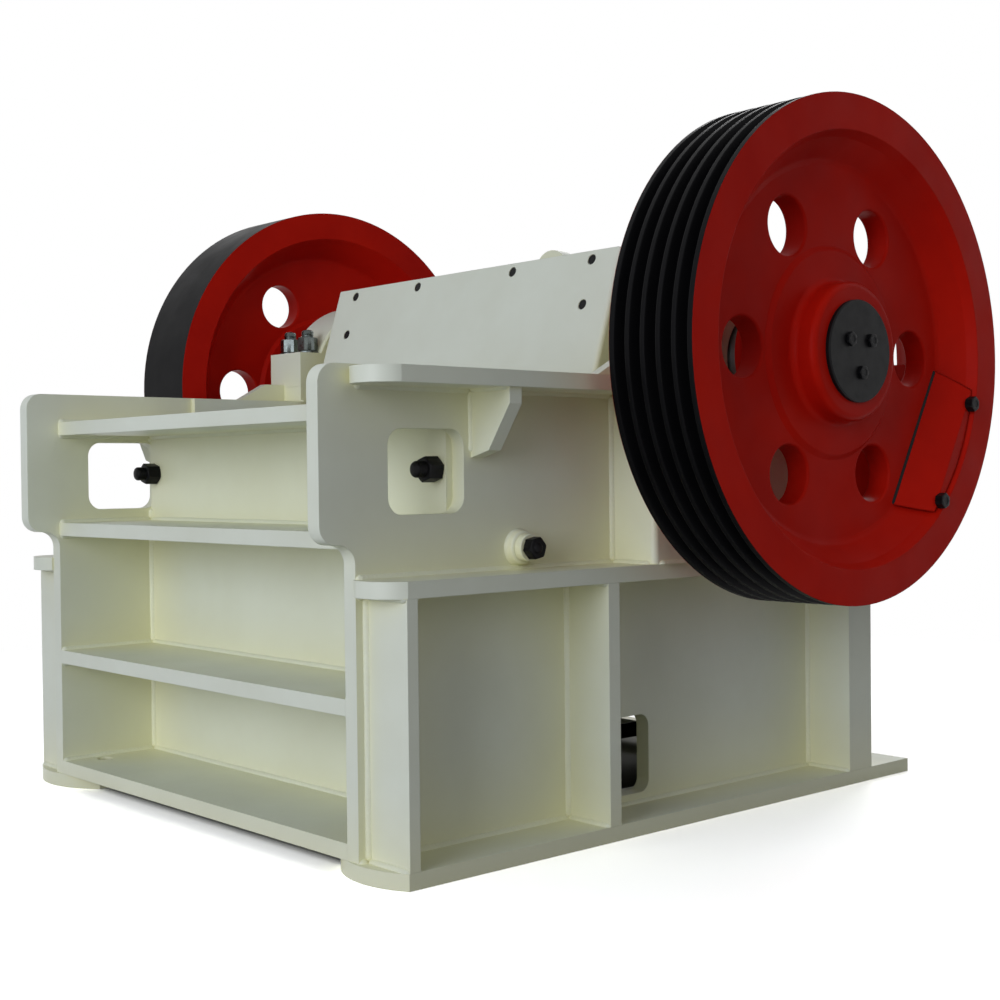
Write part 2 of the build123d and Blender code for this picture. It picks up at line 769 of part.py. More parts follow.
# Rear wall with its rod holes and window, and the ribs behind it
rear_back = rear_wall_y + rear_wall_thick
with BuildPart() as rear_wall:
    slab(-plate_in, plate_in, rear_wall_y, rear_back, foot_thick, rear_wall_high)
    with BuildSketch(Plane.XZ.offset(-rear_wall_y)):
        with Locations((-rod_x, rod_z), (rod_x, rod_z)):
            Circle(rod_radius + rod_hole_gap)
        with Locations((0, rod_z)):
            RectangleRounded(rear_window_wide, rear_window_high, access_radius)
    extrude(amount=-rear_wall_thick, mode=Mode.SUBTRACT)
save(rear_wall.part, "rear_wall")

for name, low in (("rear_rib_upper", rear_wall_high - rib_thick), ("rear_rib_middle", block_top),
                  ("rear_rib_lower", block_low - rib_thick), ("rear_base_plate", foot_thick)):
    with BuildPart() as rib:
        slab(-plate_in, plate_in, rear_back, plate_rear, low, low + rib_thick)
    save(rib.part, name)

# Tension rods with their washers and nuts, and the springs between the washers
spring_back = rod_rear - nut_thick - washer_thick - rod_tail
with BuildPart() as rods:
    for x in (-rod_x, rod_x):
        for radius, front, rear in ((rod_radius, rod_front, rod_rear),
                                    (washer_radius, rear_back, rear_back + washer_thick),
                                    (washer_radius, spring_back, spring_back + washer_thick)):
            with BuildSketch(Plane.XZ.offset(-front)):
                with Locations((x, rod_z)):
                    Circle(radius)
            extrude(amount=front - rear)
        with BuildSketch(Plane.XZ.offset(-spring_back - washer_thick)):
            with Locations((x, rod_z)):
                RegularPolygon(nut_half, 6)
        extrude(amount=-nut_thick)
save(rods.part, "tension_rods")

with BuildPart() as springs:
    for x in (-rod_x, rod_x):
        start = rear_back + washer_thick + spring_wire
        high = spring_back - spring_wire - start
        with BuildLine(mode=Mode.PRIVATE) as coil:
            Helix(high / spring_turns, high, spring_radius, center=(x, start, rod_z), direction=(0, 1, 0))
        with BuildSketch(Plane(origin=coil.line @ 0, z_dir=coil.line % 0)):
            Circle(spring_wire)
        sweep(path=coil.line, is_frenet=True)
save(springs.part, "tension_springs")
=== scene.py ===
# Jaw crusher: paints, weld beads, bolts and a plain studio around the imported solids.
# Metres, in the solids' frame: X along the shaft, Y from the front wall to the back, Z up.
from math import cos, pi, radians, sin

import bmesh
import bpy
import numpy as np
from mathutils import Matrix, Vector


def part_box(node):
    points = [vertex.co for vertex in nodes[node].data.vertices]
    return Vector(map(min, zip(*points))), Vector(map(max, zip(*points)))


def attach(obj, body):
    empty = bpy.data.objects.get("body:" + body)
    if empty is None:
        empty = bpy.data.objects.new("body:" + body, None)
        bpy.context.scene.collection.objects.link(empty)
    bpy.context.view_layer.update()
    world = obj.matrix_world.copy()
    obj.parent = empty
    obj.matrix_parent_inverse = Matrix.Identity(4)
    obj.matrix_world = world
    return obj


mm = 0.001
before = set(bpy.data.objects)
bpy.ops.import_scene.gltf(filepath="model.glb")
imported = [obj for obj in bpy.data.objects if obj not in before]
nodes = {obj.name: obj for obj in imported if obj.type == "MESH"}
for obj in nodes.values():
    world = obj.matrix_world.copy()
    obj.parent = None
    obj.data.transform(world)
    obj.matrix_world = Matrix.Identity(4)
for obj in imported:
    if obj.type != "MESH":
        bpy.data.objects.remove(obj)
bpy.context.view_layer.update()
print("solids loaded:", len(nodes))


# Helpers

def linearColour(hexText):
    # sRGB hex to the linear numbers that a shader takes
    srgb = np.array([int(hexText[i:i + 2], 16) for i in (1, 3, 5)]) / 255
    linear = np.where(srgb <= 0.04045, srgb / 12.92, ((srgb + 0.055) / 1.055) ** 2.4)
    return (*linear.tolist(), 1.0)


def setNode(node, settings):
    # a key is one of the node's own properties, or one of its sockets by name or number
    for key, value in settings.items():
        if isinstance(key, int) or key in node.inputs:
            node.inputs[key].default_value = value
        else:
            setattr(node, key, value)


def addNode(tree, kind, settings=None, links=None):
    node = tree.nodes.new(kind)
    setNode(node, settings or {})
    for key, source in (links or {}).items():
        tree.links.new(source, node.inputs[key])
    return node


def newMaterial(name, settings):
    # a Principled surface, and the object's own coordinates in metres
    material = bpy.data.materials.new(name)
    material.use_nodes = True
    tree = material.node_tree
    shader = tree.nodes["Principled BSDF"]
    setNode(shader, settings)
    coords = addNode(tree, "ShaderNodeTexCoord").outputs["Object"]
    return material, tree, shader, coords


def smoothByAngle(mesh, degrees):
    mesh.polygons.foreach_set("use_smooth", np.ones(len(mesh.polygons), bool))
    mesh.set_sharp_from_angle(angle=radians(degrees))


def meshFromGrids(name, grids, material, body, sharpAngle=32):
    # each grid is rows x columns x 3, closed across its columns, and its first and last rows
    # are drawn to a point
    corners, faces, first = [], [], 0
    for grid in grids:
        rows, columns = grid.shape[:2]
        number = first + np.arange(rows * columns).reshape(rows, columns)
        right = np.roll(number, -1, axis=1)
        quads = np.stack([number[:-1], right[:-1], right[1:], number[1:]], axis=-1)
        corners.append(grid.reshape(-1, 3))
        faces.append(quads.reshape(-1, 4))
        first += rows * columns
    mesh = bpy.data.meshes.new(name)
    mesh.from_pydata(np.concatenate(corners).tolist(), [], np.concatenate(faces).tolist())
    shape = bmesh.new()
    shape.from_mesh(mesh)
    bmesh.ops.remove_doubles(shape, verts=shape.verts, dist=0.01 * mm)
    bmesh.ops.recalc_face_normals(shape, faces=shape.faces)
    shape.to_mesh(mesh)
    shape.free()
    smoothByAngle(mesh, sharpAngle)
    mesh.materials.append(material)
    piece = bpy.data.objects.new(name, mesh)
    bpy.context.scene.collection.objects.link(piece)
    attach(piece, body)
    return piece


def twoSquare(axis):
    # two unit vectors square to an axis
    axis = np.array(axis, float)
    other = np.array([0.0, 0.0, 1.0]) if abs(axis[2]) < 0.9 else np.array([0.0, 1.0, 0.0])
    u = np.cross(other, axis)
    u /= np.linalg.norm(u)
    return u, np.cross(axis, u)


def turned(centre, axis, profile, flats=None, around=48, turn=0.0):
    # profile rows are (height, radius) along the axis. With flats the radius is also at most
    # half the flats over the cosine of the angle from the nearest flat, which makes a hexagon.
    centre, axis = np.array(centre, float), np.array(axis, float)
    u, v = twoSquare(axis)
    angle = turn + np.arange(around) * 2 * pi / around
    height, radius = np.array(profile, float).T
    radius = np.repeat(radius[:, None], around, axis=1)
    if flats:
        fromFlat = np.mod(angle - turn, pi / 3) - pi / 6
        radius = np.minimum(radius, flats / 2 / np.cos(fromFlat))
    ring = u * np.cos(angle)[:, None] + v * np.sin(angle)[:, None]
    return centre + axis * height[:, None, None] + radius[..., None] * ring


def hexNut(centre, axis, flats, high, turn=0.0):
    # the chamfer is a cone that takes the corners off both ends
    corner = flats / 2 / cos(pi / 6)
    low = (corner - flats / 2) * 0.62
    bore = flats * 0.3
    profile = [(0, 0), (0, flats / 2 * 0.96), (low, corner), (high - low, corner),
               (high - low * 0.5, (corner + flats / 2) / 2), (high, flats / 2 * 0.95),
               (high, bore), (high - 1.5 * mm, bore - 1.5 * mm), (high - 1.5 * mm, 0)]
    return turned(centre, axis, profile, flats, 48, turn)


def studEnd(centre, axis, radius, start, high, pitch=3.5 * mm):
    # threaded rod: the radius goes up and down once for each pitch, and the tip is a low dome,
    # a quarter of an ellipse
    domeHigh, domeRadius, threadDeep = radius * 0.35, radius * 0.94, 0.55 * mm
    steps = max(int((high - domeHigh) / pitch) * 4, 4)
    along = np.linspace(0, high - domeHigh, steps)
    thread = radius - threadDeep + threadDeep * np.cos(2 * pi * along / pitch)
    angle = np.linspace(0, pi / 2, 5)
    profile = [(start, 0)] + list(zip(start + along, thread))
    profile += list(zip(start + high - domeHigh * (1 - np.sin(angle)), domeRadius * np.cos(angle)))
    return turned(centre, axis, profile, None, 32)


def washer(centre, axis, radius, high):
    edge = min(high * 0.3, 1.2 * mm)
    return turned(centre, axis, [(0, 0), (0, radius), (high - edge, radius),
                                 (high, radius - edge), (high, 0)])


# Materials

enamel = {
    "ivory": "#E0E6DA",           # two near tints of one ivory, as it sprays on thick and thin
    "ivoryThin": "#D9DED0",
    "ivoryCornerShade": "#E8E2A8",     # painted shade: yellower in corners, for the light that the cream walls throw on each other
    "cornerShadeWithin": 220,          # mm, how far from a corner it still shows
    "cornerShadeMost": 0.55,           # its share deep in a corner
    "red": "#C21A0B",
    "redThin": "#AE140A",
    "black": "#0B0B0D",
    "patchSize": 420,             # mm, one cloud of tint
    "peelSize": 5,                # mm, orange peel, drawn a little coarser than the real 2 mm
    "bendSize": 330,              # mm, slow waves that welding leaves in plates
    "edgeRadius": 2.5,            # mm, the ground edge of a flame-cut plate
}


def enamelSurface(tree, shader, coords, roughness, peelHigh, bendHigh):
    # what a sprayed enamel gives the eye: soft gloss that varies a little, orange peel and,
    # on large plates, slow waves. The edges are rounded by the bevel so that they catch light.
    gloss = addNode(tree, "ShaderNodeTexNoise",
                    {"Scale": 1 / (160 * mm), "Detail": 3.0}, {"Vector": coords})
    rough = addNode(tree, "ShaderNodeMapRange",
                    {"From Min": 0.3, "From Max": 0.7, "To Min": roughness - 0.05,
                     "To Max": roughness + 0.07}, {"Value": gloss.outputs["Fac"]})
    tree.links.new(rough.outputs["Result"], shader.inputs["Roughness"])
    peel = addNode(tree, "ShaderNodeTexNoise",
                   {"Scale": 1 / (enamel["peelSize"] * mm), "Detail": 1.0}, {"Vector": coords})
    bend = addNode(tree, "ShaderNodeTexNoise",
                   {"Scale": 1 / (enamel["bendSize"] * mm), "Detail": 0.0}, {"Vector": coords})
    edge = addNode(tree, "ShaderNodeBevel", {"samples": 4, "Radius": enamel["edgeRadius"] * mm})
    wave = addNode(tree, "ShaderNodeBump", {"Strength": 1.0, "Distance": bendHigh},
                   {"Height": bend.outputs["Fac"], "Normal": edge.outputs["Normal"]})
    skin = addNode(tree, "ShaderNodeBump", {"Strength": 1.0, "Distance": peelHigh},
                   {"Height": peel.outputs["Fac"], "Normal": wave.outputs["Normal"]})
    tree.links.new(skin.outputs["Normal"], shader.inputs["Normal"])


def patchyTint(tree, coords, first, second):
    # clouds of two near tints, a hand's breadth to an arm's length across
    cloud = addNode(tree, "ShaderNodeTexNoise",
                    {"Scale": 1 / (enamel["patchSize"] * mm), "Detail": 4.0, "Roughness": 0.6},
                    {"Vector": coords})
    share = addNode(tree, "ShaderNodeMapRange", {"From Min": 0.35, "From Max": 0.65},
                    {"Value": cloud.outputs["Fac"]})
    return addNode(tree, "ShaderNodeMix", {"data_type": "RGBA", 6: linearColour(first),
                                           7: linearColour(second)},
                   {0: share.outputs["Result"]}).outputs[2]


def paintedCornerShade(tree, colour):
    # painted shade: the share of nearby walls about a point says how deep in a corner it lies, and
    # the colour goes yellower there
    corner = addNode(tree, "ShaderNodeAmbientOcclusion",
                     {"samples": 4, "Distance": enamel["cornerShadeWithin"] * mm})
    share = addNode(tree, "ShaderNodeMapRange",
                    {"From Min": 0.3, "From Max": 1.0, "To Min": enamel["cornerShadeMost"],
                     "To Max": 0.0}, {"Value": corner.outputs["AO"]})
    return addNode(tree, "ShaderNodeMix",
                   {"data_type": "RGBA", 7: linearColour(enamel["ivoryCornerShade"])},
                   {0: share.outputs["Result"], 6: colour}).outputs[2]


def makeIvoryEnamel():
    # alkyd machine enamel sprayed over blasted plate: smooth, with a soft gloss, and a yellow
    # painted shade in the corners
    material, tree, shader, coords = newMaterial(
        "ivoryEnamel", {"IOR": 1.5, "Specular IOR Level": 0.25, "Coat Weight": 0.05,
                        "Coat Roughness": 0.25})
    spray = patchyTint(tree, coords, enamel["ivory"], enamel["ivoryThin"])
    tree.links.new(paintedCornerShade(tree, spray), shader.inputs["Base Color"])
    enamelSurface(tree, shader, coords, 0.42, 0.12 * mm, 0.9 * mm)
    return material


def makeWeldEnamel():
    # the same ivory over a weld bead: it pools, so it is a little duller and rougher there
    material, tree, shader, coords = newMaterial(
        "ivoryEnamelOverWeld", {"IOR": 1.5, "Roughness": 0.5, "Specular IOR Level": 0.25,
                                "Coat Weight": 0.05, "Coat Roughness": 0.3})
    spray = patchyTint(tree, coords, enamel["ivoryThin"], enamel["ivory"])
    # yellow painted shade in the corners, as on the plates
    tree.links.new(paintedCornerShade(tree, spray), shader.inputs["Base Color"])
    spatter = addNode(tree, "ShaderNodeTexNoise", {"Scale": 1 / (6 * mm), "Detail": 2.0},
                      {"Vector": coords})
    bump = addNode(tree, "ShaderNodeBump", {"Strength": 1.0, "Distance": 0.3 * mm},
                   {"Height": spatter.outputs["Fac"]})
    tree.links.new(bump.outputs["Normal"], shader.inputs["Normal"])
    return material


def castSkin(tree, coords, grain, high, edgeRadius=4.0):
    # sand-cast surface: grains of the mould and a slower unevenness under them
    sand = addNode(tree, "ShaderNodeTexNoise", {"Scale": 1 / (grain * mm), "Detail": 3.0},
                   {"Vector": coords})
    slow = addNode(tree, "ShaderNodeTexNoise", {"Scale": 1 / (grain * 14 * mm), "Detail": 1.0},
                   {"Vector": coords})
    edge = addNode(tree, "ShaderNodeBevel", {"samples": 4, "Radius": edgeRadius * mm})
    lumps = addNode(tree, "ShaderNodeBump", {"Strength": 1.0, "Distance": high * 2.5},
                    {"Height": slow.outputs["Fac"], "Normal": edge.outputs["Normal"]})
    return addNode(tree, "ShaderNodeBump", {"Strength": 1.0, "Distance": high},
                   {"Height": sand.outputs["Fac"], "Normal": lumps.outputs["Normal"]})


rimPaint = {
    "back": 918 * mm,         # the rim's inner face, from the middle of the machine
    "deep": 36 * mm,          # black reaches this far in from the outside of the rim
    "edge": 0.4 * mm,         # and ends this far short of the rim's two faces
}


def makeRedWheelEnamel(shaftY, shaftZ, faceX, rimRadius):
    # red enamel on a grey-iron casting, with the belt face of the rim painted black.
    # Black is where the distance from the shaft is past the groove bottoms and the point is
    # off both faces of the rim.
    material, tree, shader, coords = newMaterial(
        "redEnamelOnCastIron", {"IOR": 1.5, "Specular IOR Level": 0.05})
    red = patchyTint(tree, coords, enamel["red"], enamel["redThin"])
    split = addNode(tree, "ShaderNodeSeparateXYZ", None, {"Vector": coords})
    centred = addNode(tree, "ShaderNodeVectorMath", {"operation": "MULTIPLY_ADD", 1: (0, 1, 1),
                                                     2: (0, -shaftY, -shaftZ)}, {0: coords})
    reach = addNode(tree, "ShaderNodeVectorMath", {"operation": "LENGTH"},
                    {0: centred.outputs["Vector"]})
    outward = addNode(tree, "ShaderNodeMath", {"operation": "ABSOLUTE"}, {0: split.outputs["X"]})
    onRim = addNode(tree, "ShaderNodeMath",
                    {"operation": "GREATER_THAN", 1: rimRadius - rimPaint["deep"]},
                    {0: reach.outputs["Value"]})
    middle = (faceX + rimPaint["back"]) / 2
    halfWidth = (faceX - rimPaint["back"]) / 2
    fromMiddle = addNode(tree, "ShaderNodeMath", {"operation": "SUBTRACT", 1: middle},
                         {0: outward.outputs["Value"]})
    offCentre = addNode(tree, "ShaderNodeMath", {"operation": "ABSOLUTE"},
                        {0: fromMiddle.outputs["Value"]})
    offFace = addNode(tree, "ShaderNodeMath",
                      {"operation": "LESS_THAN", 1: halfWidth - rimPaint["edge"]},
                      {0: offCentre.outputs["Value"]})
    isBlack = addNode(tree, "ShaderNodeMath", {"operation": "MULTIPLY"},
                      {0: onRim.outputs["Value"], 1: offFace.outputs["Value"]})
    colour = addNode(tree, "ShaderNodeMix",
                     {"data_type": "RGBA", 7: linearColour(enamel["black"])},
                     {0: isBlack.outputs["Value"], 6: red})
    tree.links.new(colour.outputs[2], shader.inputs["Base Color"])
    gloss = addNode(tree, "ShaderNodeTexNoise", {"Scale": 1 / (120 * mm), "Detail": 3.0},
                    {"Vector": coords})
    rough = addNode(tree, "ShaderNodeMapRange", {"From Min": 0.3, "From Max": 0.7, "To Min": 0.36,
                                                 "To Max": 0.5}, {"Value": gloss.outputs["Fac"]})
    tree.links.new(rough.outputs["Result"], shader.inputs["Roughness"])
    skin = castSkin(tree, coords, 4, 0.16 * mm)
    tree.links.new(skin.outputs["Normal"], shader.inputs["Normal"])
    return material


def makeBlackEnamel():
    # black enamel brushed over steel fittings: deep, satin, with a little dust
    material, tree, shader, coords = newMaterial(
        "blackEnamelOnSteel", {"Base Color": linearColour(enamel["black"]), "IOR": 1.5,
                               "Specular IOR Level": 0.12})
    dust = addNode(tree, "ShaderNodeTexNoise", {"Scale": 1 / (25 * mm), "Detail": 4.0},
                   {"Vector": coords})
    rough = addNode(tree, "ShaderNodeMapRange", {"From Min": 0.3, "From Max": 0.7, "To Min": 0.34,
                                                 "To Max": 0.52}, {"Value": dust.outputs["Fac"]})
    tree.links.new(rough.outputs["Result"], shader.inputs["Roughness"])
    skin = castSkin(tree, coords, 3, 0.08 * mm, 1.5)
    tree.links.new(skin.outputs["Normal"], shader.inputs["Normal"])
    return material


steel = {
    "zinc": "#5F6665",
    "turned": "#8F9194",
    "scale": "#5B5550",           # casting scale, and the paler metal where it has worn through
    "worn": "#857F78",
    "sheet": "#7F8083",           # faces of the shims, and the dark lines between them
    "sheetLine": "#2C2B29",
    "ringApart": 3,               # mm, rings left by the tool, drawn coarser than they are
    "sheetApart": 12,             # mm
}


def makeZincSteel():
    # zinc-plated nuts and studs that have weathered: gone dark and slightly bluish, clouded
    material, tree, shader, coords = newMaterial(
        "zincPlatedSteel", {"Metallic": 1.0, "Base Color": linearColour(steel["zinc"])})
    cloud = addNode(tree, "ShaderNodeTexNoise", {"Scale": 1 / (12 * mm), "Detail": 4.0},
                    {"Vector": coords})
    rough = addNode(tree, "ShaderNodeMapRange", {"From Min": 0.3, "From Max": 0.7, "To Min": 0.2,
                                                 "To Max": 0.42}, {"Value": cloud.outputs["Fac"]})
    tree.links.new(rough.outputs["Result"], shader.inputs["Roughness"])
    return material


def makeTurnedSteel():
    # machined shaft: fine rings left by the tool, and a film of oil
    material, tree, shader, coords = newMaterial(
        "turnedSteel", {"Metallic": 1.0, "Base Color": linearColour(steel["turned"]),
                        "Roughness": 0.33})
    rings = addNode(tree, "ShaderNodeTexWave",
                    {"wave_type": "BANDS", "bands_direction": "X",
                     "Scale": 1 / (steel["ringApart"] * mm) / 6.283, "Distortion": 0.6},
                    {"Vector": coords})
    bump = addNode(tree, "ShaderNodeBump", {"Strength": 0.6, "Distance": 0.1 * mm},
                   {"Height": rings.outputs["Fac"]})
    tree.links.new(bump.outputs["Normal"], shader.inputs["Normal"])
    return material


def makeManganeseCasting():
    # austenitic manganese steel as cast: dark grey-brown scale, rough, with paler worn patches
    material, tree, shader, coords = newMaterial(
        "manganeseSteelCasting", {"Metallic": 0.75, "IOR": 1.5})
    scale = addNode(tree, "ShaderNodeTexNoise", {"Scale": 1 / (70 * mm), "Detail": 6.0,
                                                 "Roughness": 0.65}, {"Vector": coords})
    share = addNode(tree, "ShaderNodeMapRange", {"From Min": 0.38, "From Max": 0.66},
                    {"Value": scale.outputs["Fac"]})
    colour = addNode(tree, "ShaderNodeMix", {"data_type": "RGBA", 6: linearColour(steel["scale"]),
                                             7: linearColour(steel["worn"])},
                     {0: share.outputs["Result"]})
    tree.links.new(colour.outputs[2], shader.inputs["Base Color"])
    rough = addNode(tree, "ShaderNodeMapRange", {"From Min": 0.3, "From Max": 0.7, "To Min": 0.7,
                                                 "To Max": 0.5}, {"Value": scale.outputs["Fac"]})
    tree.links.new(rough.outputs["Result"], shader.inputs["Roughness"])
    skin = castSkin(tree, coords, 5, 0.4 * mm)
    tree.links.new(skin.outputs["Normal"], shader.inputs["Normal"])
    return material


def makeShimSteel():
    # a pack of bare sheet steel: the joints between the sheets show as dark lines
    material, tree, shader, coords = newMaterial(
        "bareSheetSteel", {"Metallic": 1.0, "Roughness": 0.45})
    split = addNode(tree, "ShaderNodeSeparateXYZ", None, {"Vector": coords})
    sheet = addNode(tree, "ShaderNodeMath", {"operation": "DIVIDE", 1: steel["sheetApart"] * mm},
                    {0: split.outputs["Y"]})
    part = addNode(tree, "ShaderNodeMath", {"operation": "FRACT"}, {0: sheet.outputs["Value"]})
    line = addNode(tree, "ShaderNodeMath", {"operation": "LESS_THAN", 1: 0.14},
                   {0: part.outputs["Value"]})
    colour = addNode(tree, "ShaderNodeMix", {"data_type": "RGBA", 6: linearColour(steel["sheet"]),
                                             7: linearColour(steel["sheetLine"])},
                     {0: line.outputs["Value"]})
    tree.links.new(colour.outputs[2], shader.inputs["Base Color"])
    return material


print("making materials")
sheaveLow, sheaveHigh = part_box("grooved_sheave")
shaftY = (sheaveLow.y + sheaveHigh.y) / 2
shaftZ = (sheaveLow.z + sheaveHigh.z) / 2
rimRadius = (sheaveHigh.z - sheaveLow.z) / 2
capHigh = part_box("shaft_end_cap_right")[1].x
ivoryEnamel = makeIvoryEnamel()
weldEnamel = makeWeldEnamel()
redWheelEnamel = makeRedWheelEnamel(shaftY, shaftZ, capHigh, rimRadius)
blackEnamel = makeBlackEnamel()
zincSteel = makeZincSteel()
turnedSteel = makeTurnedSteel()
manganeseCasting = makeManganeseCasting()
shimSteel = makeShimSteel()

nodeFinish = {
    "grooved_sheave": redWheelEnamel, "plain_flywheel": redWheelEnamel,
    "counterweight_left": redWheelEnamel, "counterweight_right": redWheelEnamel,
    "shaft_end_cap_left": blackEnamel, "shaft_end_cap_right": blackEnamel,
    "eccentric_shaft": turnedSteel, "toggle_plate": blackEnamel, "shim_pack": shimSteel,
    "tension_rods": blackEnamel, "tension_springs": blackEnamel,
    "fixed_jaw_plate": manganeseCasting, "moving_jaw_plate": manganeseCasting,
}
for name, node in nodes.items():
    node.data.materials.clear()
    node.data.materials.append(nodeFinish.get(name, ivoryEnamel))


# Front plate of each bearing pedestal

pedestalPlate = {"deep": 42 * mm, "behind": 15 * mm, "corner": 15 * mm, "below": 1 * mm}


def makePedestalPlate(side, tag):
    # an upright plate in front of the pedestal's box, with its outer front edge rounded
    low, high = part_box("bearing_pedestal_" + tag)
    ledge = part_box("top_flange_" + tag)[0].z - pedestalPlate["below"]
    inner, outer = sorted((abs(low.x), abs(high.x)))
    front = low.y - pedestalPlate["deep"]
    back = low.y + pedestalPlate["behind"]
    radius = pedestalPlate["corner"]
    angle = np.linspace(0, pi / 2, 9)
    outline = [(inner, back), (inner, front)]
    outline += list(zip(outer - radius + radius * np.sin(angle),
                        front + radius - radius * np.cos(angle)))
    outline.append((outer, back))
    outline = np.array(outline)
    middle = outline.mean(axis=0)
    rings = []
    for z, share in ((low.z, 0.0), (low.z, 1.0), (ledge, 1.0), (ledge, 0.0)):
        flat = middle + share * (outline - middle)
        rings.append(np.column_stack([side * flat[:, 0], flat[:, 1], np.full(len(flat), z)]))
    return np.array(rings)


print("adding the pedestals' front plates")
pedestalPlates = [makePedestalPlate(side, tag) for side, tag in ((-1, "left"), (1, "right"))]
meshFromGrids("pedestalPlates", pedestalPlates, ivoryEnamel, "frame")


# Weld beads

weld = {
    "leg": 9 * mm,            # leg of a fillet weld between plates of 36 and 40 mm
    "pitch": 11 * mm,         # one ripple of the bead, drawn coarser than the real 3 mm
    "samples": 4,             # rows for each ripple
    "across": 7,              # points over the bead's face
    "crown": 0.16,            # how far the face bulges, as a share of the leg
    "ripple": 0.05,           # how far each ripple stands up, as a share of the leg
    "lag": 0.45,              # how far a ripple's middle trails its ends, in pitches
    "sunk": 0.6 * mm,         # how far the root lies inside the corner
}


def beadAlong(start, end, legA, legB, size=1.0):
    # A bead in the corner of two plates. Its face is a straight line between the ends of the two
    # legs plus a parabola's bulge; the size goes up and down with the ripples, wanders slowly
    # and falls to nothing at both ends as the root of the distance.
    start, end = np.array(start, float), np.array(end, float)
    legA, legB = np.array(legA, float), np.array(legB, float)
    length = np.linalg.norm(end - start)
    leg = weld["leg"] * size
    rows = max(int(length / weld["pitch"] * weld["samples"]), 6)
    s = np.linspace(0, length, rows)[:, None]
    t = np.linspace(0, 1, weld["across"])[None, :]
    bulge = 4 * t * (1 - t)
    ripple = 1 + weld["ripple"] * np.cos(2 * pi * (s / weld["pitch"] - weld["lag"] * bulge))
    phase = start.sum() * 7 + end.sum() * 3
    wander = 1 + 0.05 * np.sin(s / 0.061 + phase) + 0.04 * np.sin(s / 0.019 + 2 * phase)
    nearEnd = np.clip(np.minimum(s, length - s) / leg, 0, 1) ** 0.5
    reach = (leg * ripple * wander * nearEnd)[..., None]
    face = (1 - t)[..., None] * legA + t[..., None] * legB
    face = face + weld["crown"] * bulge[..., None] * (legA + legB) / 2 ** 0.5
    way = (end - start) / length
    root = -weld["sunk"] * (legA + legB)
    shownFace = start + s[..., None] * way + reach * face
    rootLine = start + s[..., None] * way + root
    return np.concatenate([shownFace, rootLine], axis=1)


def closedBead(*place, **options):
    # both ends drawn to the corner, so that the bead is a closed skin
    grid = beadAlong(*place, **options)
    first = np.repeat(grid[:1].mean(axis=1, keepdims=True), grid.shape[1], axis=1)
    last = np.repeat(grid[-1:].mean(axis=1, keepdims=True), grid.shape[1], axis=1)
    return np.concatenate([first, grid, last])


print("laying weld beads")
xAxis, yAxis, zAxis = np.eye(3)
plateLow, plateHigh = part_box("side_plate_right")
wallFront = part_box("front_wall")[0].y
plateIn, plateOut = plateLow.x, plateHigh.x
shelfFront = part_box("front_rib_lower")[0].y
frontShelves = ["front_base_plate", "front_rib_lower", "front_rib_shoulder", "front_rib_upper"]
rearShelves = ["rear_base_plate", "rear_rib_lower", "rear_rib_middle", "rear_rib_upper"]
sideWeld = {
    "window": (762 * mm, 948 * mm),   # heights between which a side plate's window cuts its bead
    "ledgeRoot": -900 * mm,           # where the top flange starts along the plate
    "ledgeThick": 36 * mm,
    "gussetFoot": 12 * mm,            # beads start this far above the gusset's tip
    "gussetWide": 125 * mm,
    "cornerIn": 14 * mm,              # beads stop this far short of the pedestal's rounded edge
    "cornerLong": 15 * mm,
    "postClear": 5 * mm,              # a post whose back is this near the flange's end has no bead
}


def shelfBeads(shelves, wallY, openY, outward):
    # each shelf against its wall and both side plates, above and below; and the upright corners
    beads = []
    tops = []
    for name in shelves:
        low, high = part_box(name)
        tops.append((low.z, high.z))
        for z, up in ((high.z, zAxis), (low.z, -zAxis)):
            if name == shelves[0] and up[2] < 0:
                continue
            beads.append(closedBead((-plateIn, wallY, z), (plateIn, wallY, z),
                                    outward * yAxis, up))
            for side in (-1, 1):
                beads.append(closedBead((side * plateIn, wallY, z), (side * plateIn, openY, z),
                                        -side * xAxis, up))
    windowLow, windowHigh = sideWeld["window"]
    for (_, z0), (z1, _) in zip(tops[:-1], tops[1:]):
        spans = [(z0, z1)]
        if outward < 0 and z0 < windowLow < z1:
            spans = [(z0, windowLow), (windowHigh, z1)]
        for side in (-1, 1):
            for low, high in spans:
                beads.append(closedBead((side * plateIn, wallY, low),
                                        (side * plateIn, wallY, high),
                                        -side * xAxis, outward * yAxis))
    return beads


frontBeads = shelfBeads(frontShelves, wallFront, shelfFront, -1)
meshFromGrids("weldBeadsFront", frontBeads, weldEnamel, "frame", 60)
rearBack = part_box("rear_wall")[1].y
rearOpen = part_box("rear_rib_lower")[1].y
rearBeads = shelfBeads(rearShelves, rearBack, rearOpen, 1)
meshFromGrids("weldBeadsRear", rearBeads, weldEnamel, "frame", 60)


